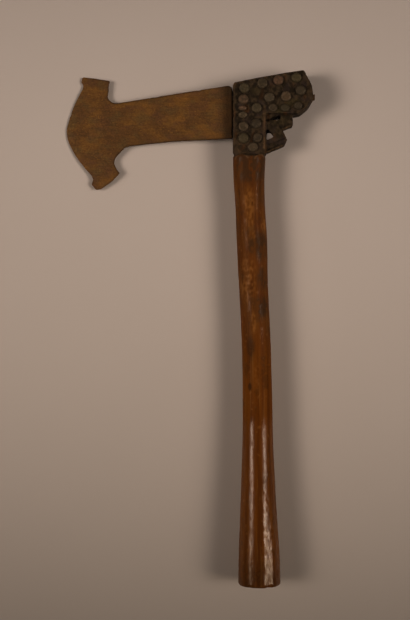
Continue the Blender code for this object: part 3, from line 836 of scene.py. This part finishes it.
colour = tinted(tree, times(tree, gold_streaks, 0.40), colour, RUST_GOLD)
colour = tinted(tree, times(tree, grey, 0.60), colour, PATINA_GREY)
colour = tinted(tree, times(tree, purple, 0.50), colour, RUST_PURPLE)
golden_share = kept_value(tree, "golden").outputs["Fac"]
golden_cloud = times(tree, golden_share, spread(tree, cloud, 0.0, 1.0, 0.35, 0.85))
colour = tinted(tree, golden_cloud, colour, RUST_GOLD)
colour = tinted(tree, times(tree, freckles, 0.26), colour, DARK_SCALE_AND_SHADE)
colour = tinted(tree, times(tree, draw_marks, 0.18), colour, DARK_SCALE_AND_SHADE)
fleck_share = spread(tree, golden_share, 0.0, 1.0, 0.35, 0.85)
colour = tinted(tree, times(tree, flecks, fleck_share), colour, GOLD_FLECK)
# Painted shade along the plate's edges and a painted shadow near the head
edge_shade_share = kept_value(tree, "rim").outputs["Fac"]
colour = tinted(tree, times(tree, edge_shade_share, 0.45), colour, DARK_SCALE_AND_SHADE)
head_shadow_share = kept_value(tree, "root").outputs["Fac"]
colour = tinted(tree, times(tree, head_shadow_share, 0.6), colour, DARK_SCALE_AND_SHADE)
tree.links.new(colour, shader.inputs["Base Color"])
tree.links.new(spread(tree, freckles, 0.0, 1.0, 0.54, 0.76), shader.inputs["Roughness"])
tree.links.new(spread(tree, flecks, 0.0, 1.0, 0.10, 0.40), shader.inputs["Metallic"])
shader.inputs["Specular IOR Level"].default_value = 0.2
pits = bumped(tree, freckles, 0.45, 0.00018)
tree.links.new(bumped(tree, draw_marks, 0.25, 0.0001, pits), shader.inputs["Normal"])
blade.data.materials.append(iron_finish)
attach(blade, "root")
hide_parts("blade")

# Tacks: round-headed nails hammered into both faces of the head in rows. Their heads are low domes of
# tarnished metal, each knocked a little out of round, and some are worn hollow in the middle, leaving a
# ring that carries a painted highlight.
TACK_SIDES = 36
TACK_RISE = 1.7
TACK_GAP = 0.3
TACK_SHANK = 0.1
TACK_SHANK_DEPTH = 5.0
TACK_POINT = 1.4
TACK_TILT = math.radians(2.2)
TACK_DENT_SIZE = 3.2
TACK_DENT_DEPTH = 1.1
TACK_DENT_LEVEL = 0.62
TACK_HOLLOW = 0.55
# The head from its middle to its underside: reach as a share of its width, height as a share of its rise
TACK_PROFILE = (
    (0.0, 1.0),
    (0.12, 0.995),
    (0.22, 0.975),
    (0.30, 0.935),
    (0.36, 0.865),
    (0.41, 0.74),
    (0.45, 0.54),
    (0.48, 0.30),
    (0.50, 0.06),
    (0.49, -0.06),
    (0.45, -0.10),
    (0.30, -0.08),
)
# How strong each look is, by the number of the tack
# A ringed tack is worn hollow in the middle, and the ring round it gets a painted highlight
RINGED_AND_HIGHLIT = {"04": 1.0, "05": 0.9, "07": 0.8, "10": 0.6, "11": 1.0, "14": 1.0, "18": 0.7, "19": 0.5}
COPPERY = {"08": 1.0, "02": 0.55, "03": 0.7, "19": 0.25, "11": 0.3}
GREYISH = {"10": 1.0, "12": 0.7, "13": 0.6, "15": 0.5, "16": 0.5, "01": 0.4}
OLIVE = {"06": 0.7, "09": 0.9, "01": 0.4, "15": 0.4}
FADED = {
    "05": 0.2,
    "06": 0.15,
    "07": 0.2,
    "12": 0.3,
    "14": 0.3,
    "15": 0.35,
    "16": 0.55,
    "17": 0.55,
    "18": 0.35,
}

blank = bmesh.new()
turns = [2.0 * math.pi * i / TACK_SIDES for i in range(TACK_SIDES)]
rings = [(reach, height * TACK_RISE + TACK_GAP, reach * 2.0) for reach, height in TACK_PROFILE]
rings.append((TACK_SHANK, TACK_GAP, 0.0))
rings.append((TACK_SHANK, -TACK_SHANK_DEPTH, 0.0))
rings.append((0.0, -TACK_SHANK_DEPTH - TACK_POINT, 0.0))
ring_before = []
kept_reaches = []
for reach, height, kept_reach in rings:
    if reach == 0.0:
        ring = [blank.verts.new((0.0, 0.0, height))]
    else:
        ring = [blank.verts.new((reach * math.cos(turn), reach * math.sin(turn), height)) for turn in turns]
    kept_reaches += [kept_reach] * len(ring)
    for i in range(TACK_SIDES):
        j = (i + 1) % TACK_SIDES
        if len(ring_before) == 1:
            blank.faces.new((ring_before[0], ring[i], ring[j]))
        elif ring_before and len(ring) == 1:
            blank.faces.new((ring_before[i], ring[0], ring_before[j]))
        elif ring_before:
            blank.faces.new((ring_before[i], ring[i], ring[j], ring_before[j]))
    ring_before = ring
bmesh.ops.recalc_face_normals(blank, faces=blank.faces)
blank_mesh = bpy.data.meshes.new("tack_blank")
blank.to_mesh(blank_mesh)
blank.free()
keep_values(blank_mesh, "reach", np.array(kept_reaches))
tack_blank = new_piece("tack_blank", blank_mesh)


def point_value(tree, name, kind="FLOAT"):
    made = add_node(tree, "GeometryNodeInputNamedAttribute", {"Name": name}, data_type=kind)
    return made.outputs["Attribute"]


def tack_tree(material):
    """Sets the blank on each point, sized and turned by the point's values, and knocks dents into it."""
    tree = bpy.data.node_groups.new("studding", "GeometryNodeTree")
    for name, kind in (
        ("Geometry", "Geometry"),
        ("Blank", "Object"),
        ("Dent Size", "Float"),
        ("Dent Depth", "Float"),
        ("Hollow Depth", "Float"),
    ):
        tree.interface.new_socket(name, in_out="INPUT", socket_type="NodeSocket" + kind)
    tree.interface.new_socket("Geometry", in_out="OUTPUT", socket_type="NodeSocketGeometry")
    given = tree.nodes.new("NodeGroupInput")
    result = tree.nodes.new("NodeGroupOutput")
    blank_of = add_node(tree, "GeometryNodeObjectInfo", {"Object": given.outputs["Blank"]})
    placed = add_node(
        tree,
        "GeometryNodeInstanceOnPoints",
        {
            "Points": given.outputs["Geometry"],
            "Instance": blank_of.outputs["Geometry"],
            "Rotation": point_value(tree, "turn", "FLOAT_VECTOR"),
            "Scale": point_value(tree, "scale", "FLOAT_VECTOR"),
        },
    )
    real = add_node(tree, "GeometryNodeRealizeInstances", {"Geometry": placed.outputs[0]})
    size = add_node(tree, "ShaderNodeMath", {0: 1.0, 1: given.outputs["Dent Size"]}, operation="DIVIDE")
    dents = add_node(tree, "ShaderNodeTexNoise", {"Scale": size.outputs[0], "Detail": 3.0})
    centred = {0: dents.outputs[0], 1: TACK_DENT_LEVEL}
    outward = add_node(tree, "ShaderNodeMath", centred, operation="SUBTRACT").outputs[0]
    dented = times(tree, outward, given.outputs["Dent Depth"])
    middle = spread(tree, point_value(tree, "reach"), 0.40, 0.78, 1.0, 0.0)
    hollow = times(tree, times(tree, middle, point_value(tree, "ring")), given.outputs["Hollow Depth"])
    depth = add_node(tree, "ShaderNodeMath", {0: dented, 1: hollow}, operation="SUBTRACT").outputs[0]
    normal = add_node(tree, "GeometryNodeInputNormal").outputs[0]
    push = add_node(tree, "ShaderNodeVectorMath", {0: normal, "Scale": depth}, operation="SCALE").outputs[0]
    knocked = add_node(tree, "GeometryNodeSetPosition", {"Geometry": real.outputs[0], "Offset": push})
    finish = {"Geometry": knocked.outputs[0], "Material": material}
    painted = add_node(tree, "GeometryNodeSetMaterial", finish)
    tree.links.new(painted.outputs[0], result.inputs[0])
    return tree


DOME_DARK = (0.050, 0.040, 0.026)
DOME_BROWN = (0.112, 0.084, 0.050)
DOME_TAN = (0.140, 0.102, 0.058)
DOME_GREY = (0.098, 0.086, 0.058)
DOME_OLIVE = (0.092, 0.084, 0.042)
DOME_COPPER = (0.185, 0.112, 0.072)
RING_HIGHLIGHT = (0.165, 0.128, 0.086)

tack_finish, tree = new_finish("tarnished_tack")
shader = tree.nodes["Principled BSDF"]
place = add_node(tree, "ShaderNodeTexCoord").outputs["Object"]
grime = pattern(tree, place, (420.0, 420.0, 420.0), 5.0, 0.36, 0.64)
specks = pattern(tree, place, (1300.0, 1300.0, 1300.0), 2.0, 0.42, 0.66, (2.0, 7.0, 4.0))
cloudy = pattern(tree, place, (190.0, 190.0, 190.0), 4.0, 0.36, 0.62, (3.0, 1.0, 8.0))
colour = tinted(tree, grime, DOME_DARK, DOME_BROWN)
colour = tinted(tree, times(tree, cloudy, 0.5), colour, DOME_TAN)
colour = tinted(tree, times(tree, kept_value(tree, "grey").outputs["Fac"], 0.8), colour, DOME_GREY)
colour = tinted(tree, times(tree, kept_value(tree, "olive").outputs["Fac"], 0.8), colour, DOME_OLIVE)
copper_grime = spread(tree, grime, 0.0, 1.0, 0.45, 0.95)
copper_share = times(tree, kept_value(tree, "copper").outputs["Fac"], copper_grime)
colour = tinted(tree, copper_share, colour, DOME_COPPER)
# A painted highlight on the ring round each ringed tack's hollow middle
reach = kept_value(tree, "reach").outputs["Fac"]
inner = spread(tree, reach, 0.50, 0.78)
outer = spread(tree, reach, 0.90, 1.0, 1.0, 0.25)
ring_highlight_breakup = spread(tree, grime, 0.0, 1.0, 0.3, 0.8)
ring_highlight_share = times(tree, kept_value(tree, "ring").outputs["Fac"], ring_highlight_breakup)
colour = tinted(tree, times(tree, times(tree, inner, outer), ring_highlight_share), colour, RING_HIGHLIGHT)
colour = tinted(tree, times(tree, specks, 0.3), colour, DOME_DARK)
colour = tinted(tree, kept_value(tree, "faded").outputs["Fac"], colour, DOME_DARK)
tree.links.new(colour, shader.inputs["Base Color"])
tree.links.new(spread(tree, grime, 0.0, 1.0, 0.66, 0.46), shader.inputs["Roughness"])
shader.inputs["Metallic"].default_value = 0.2
shader.inputs["Specular IOR Level"].default_value = 0.3
crusted = bumped(tree, grime, 0.5, 0.00025)
tree.links.new(bumped(tree, specks, 0.35, 0.0001, crusted), shader.inputs["Normal"])

studding = tack_tree(tack_finish)
for face_name, names in tack_nodes.items():
    side = 1.0 if face_name == "front" else -1.0
    chance = np.random.default_rng(len(names))
    points = bpy.data.meshes.new("tacks_" + face_name)
    places = []
    scales = []
    turns = []
    looks = {"ring": [], "copper": [], "grey": [], "olive": [], "faded": []}
    for node_name in names:
        middle, size = tack_places[node_name]
        places.append((middle[0], middle[1], side * HEAD_HALF))
        scales.append((size[0], size[1], 1.0))
        tilt = chance.normal(0.0, TACK_TILT, 2)
        turns.append((tilt[0] + (0.0 if side > 0.0 else math.pi), tilt[1], 0.0))
        number = node_name[-2:]
        looks["ring"].append(RINGED_AND_HIGHLIT.get(number, chance.uniform(0.05, 0.3)))
        looks["copper"].append(COPPERY.get(number, chance.uniform(0.0, 0.15)))
        looks["grey"].append(GREYISH.get(number, chance.uniform(0.0, 0.4)))
        looks["olive"].append(OLIVE.get(number, chance.uniform(0.0, 0.3)))
        looks["faded"].append(FADED.get(number, 0.0))
    points.from_pydata(places, [], [])
    keep_values(points, "scale", np.array(scales))
    keep_values(points, "turn", np.array(turns))
    for look, values in looks.items():
        keep_values(points, look, np.array(values))
    tacks = new_piece("tacks_" + face_name, points)
    hammer = tacks.modifiers.new("hammered_in", "NODES")
    hammer.node_group = studding
    sockets = [socket for socket in studding.interface.items_tree if socket.in_out == "INPUT"]
    inputs = {socket.name: socket.identifier for socket in sockets}
    hammer[inputs["Blank"]] = tack_blank
    hammer[inputs["Dent Size"]] = TACK_DENT_SIZE
    hammer[inputs["Dent Depth"]] = TACK_DENT_DEPTH
    hammer[inputs["Hollow Depth"]] = TACK_HOLLOW
    apply_modifiers(tacks)
    place_piece(tacks)
    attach(tacks, "root")
    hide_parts(*names)
bpy.data.objects.remove(tack_blank, do_unlink=True)

# Studio: the axe lies on a plain pale sheet. Two large soft lights hang on both sides of its upper half,
# and two smaller golden ones further down light its butt. The camera looks straight down.
PIXEL = 0.9 * MM
CAMERA_HEIGHT = 1.1
SENSOR_HEIGHT = 36.0
FRAME_HEIGHT = 620
HEAD_PIXEL = (249.5, 108.9)
MIDDLE_PIXEL = (205.0, 310.0)
SHEET_SIZE = 3.0
SHEET_COLOUR = (0.60, 0.575, 0.565)
SHEET_SHADE = (0.52, 0.49, 0.475)
ROOM_LIGHT = 0.042
PICTURE_GAMMA = 0.8

head_place = from_drawing.translation
at_height = (CAMERA_HEIGHT - head_place.z) / CAMERA_HEIGHT
camera_data = bpy.data.cameras.new("overhead")
camera_data.sensor_fit = "VERTICAL"
camera_data.sensor_height = SENSOR_HEIGHT
camera_data.lens = SENSOR_HEIGHT * CAMERA_HEIGHT / (FRAME_HEIGHT * PIXEL)
camera = bpy.data.objects.new("overhead", camera_data)
bpy.context.scene.collection.objects.link(camera)
camera.location = (
    head_place.x - (HEAD_PIXEL[0] - MIDDLE_PIXEL[0]) * PIXEL * at_height,
    head_place.y - (MIDDLE_PIXEL[1] - HEAD_PIXEL[1]) * PIXEL * at_height,
    CAMERA_HEIGHT,
)
bpy.context.scene.camera = camera

sheet_work = bmesh.new()
bmesh.ops.create_grid(sheet_work, x_segments=8, y_segments=8, size=SHEET_SIZE / 2.0)
sheet_mesh = bpy.data.meshes.new("pale_sheet")
sheet_work.to_mesh(sheet_mesh)
sheet_work.free()
sheet = new_piece("pale_sheet", sheet_mesh)
sheet_finish, tree = new_finish("pale_sheet")
shader = tree.nodes["Principled BSDF"]
place = add_node(tree, "ShaderNodeTexCoord").outputs["Object"]
mottling = pattern(tree, place, (9.0, 9.0, 9.0), 3.0, 0.35, 0.65)
colour = tinted(tree, times(tree, mottling, 0.06), SHEET_COLOUR, SHEET_SHADE)
tree.links.new(colour, shader.inputs["Base Color"])
shader.inputs["Roughness"].default_value = 0.9
shader.inputs["Specular IOR Level"].default_value = 0.2
sheet_mesh.materials.append(sheet_finish)

WARM_LIGHT = (1.0, 0.83, 0.70)
GOLDEN_LIGHT = (1.0, 0.80, 0.57)
LIGHT_OPENING = 0.60
# Name, place, point it is turned to, width, length, watts, colour
LIGHTS = (
    ("left_light", (-1.12, 0.09, 1.08), (0.0, 0.16, 0.0), 0.74, 1.0, 1.26, WARM_LIGHT),
    ("right_light", (1.12, 0.06, 1.08), (0.0, 0.17, 0.0), 0.72, 1.0, 1.20, WARM_LIGHT),
    ("left_strip", (-1.12, -0.47, 1.08), (0.0, -0.20, 0.0), 0.22, 0.30, 0.066, GOLDEN_LIGHT),
    ("right_strip", (1.20, -0.48, 0.98), (0.0, -0.20, 0.0), 0.22, 0.60, 0.130, GOLDEN_LIGHT),
)
for name, place, aim, wide, long, watts, tone in LIGHTS:
    lamp = bpy.data.lights.new(name, "AREA")
    lamp.shape = "RECTANGLE"
    lamp.size = wide
    lamp.size_y = long
    lamp.energy = watts
    lamp.color = tone
    lamp.spread = LIGHT_OPENING
    lamp_object = bpy.data.objects.new(name, lamp)
    bpy.context.scene.collection.objects.link(lamp_object)
    lamp_object.location = place
    direction = Vector(aim) - Vector(place)
    lamp_object.rotation_euler = direction.to_track_quat("-Z", "Y").to_euler()

room = bpy.data.worlds.new("dim_room")
room.use_nodes = True
room.node_tree.nodes["Background"].inputs["Color"].default_value = (*WARM_LIGHT, 1.0)
room.node_tree.nodes["Background"].inputs["Strength"].default_value = ROOM_LIGHT
bpy.context.scene.world = room
bpy.context.scene.view_settings.view_transform = "Standard"
bpy.context.scene.view_settings.look = "None"
bpy.context.scene.view_settings.gamma = PICTURE_GAMMA
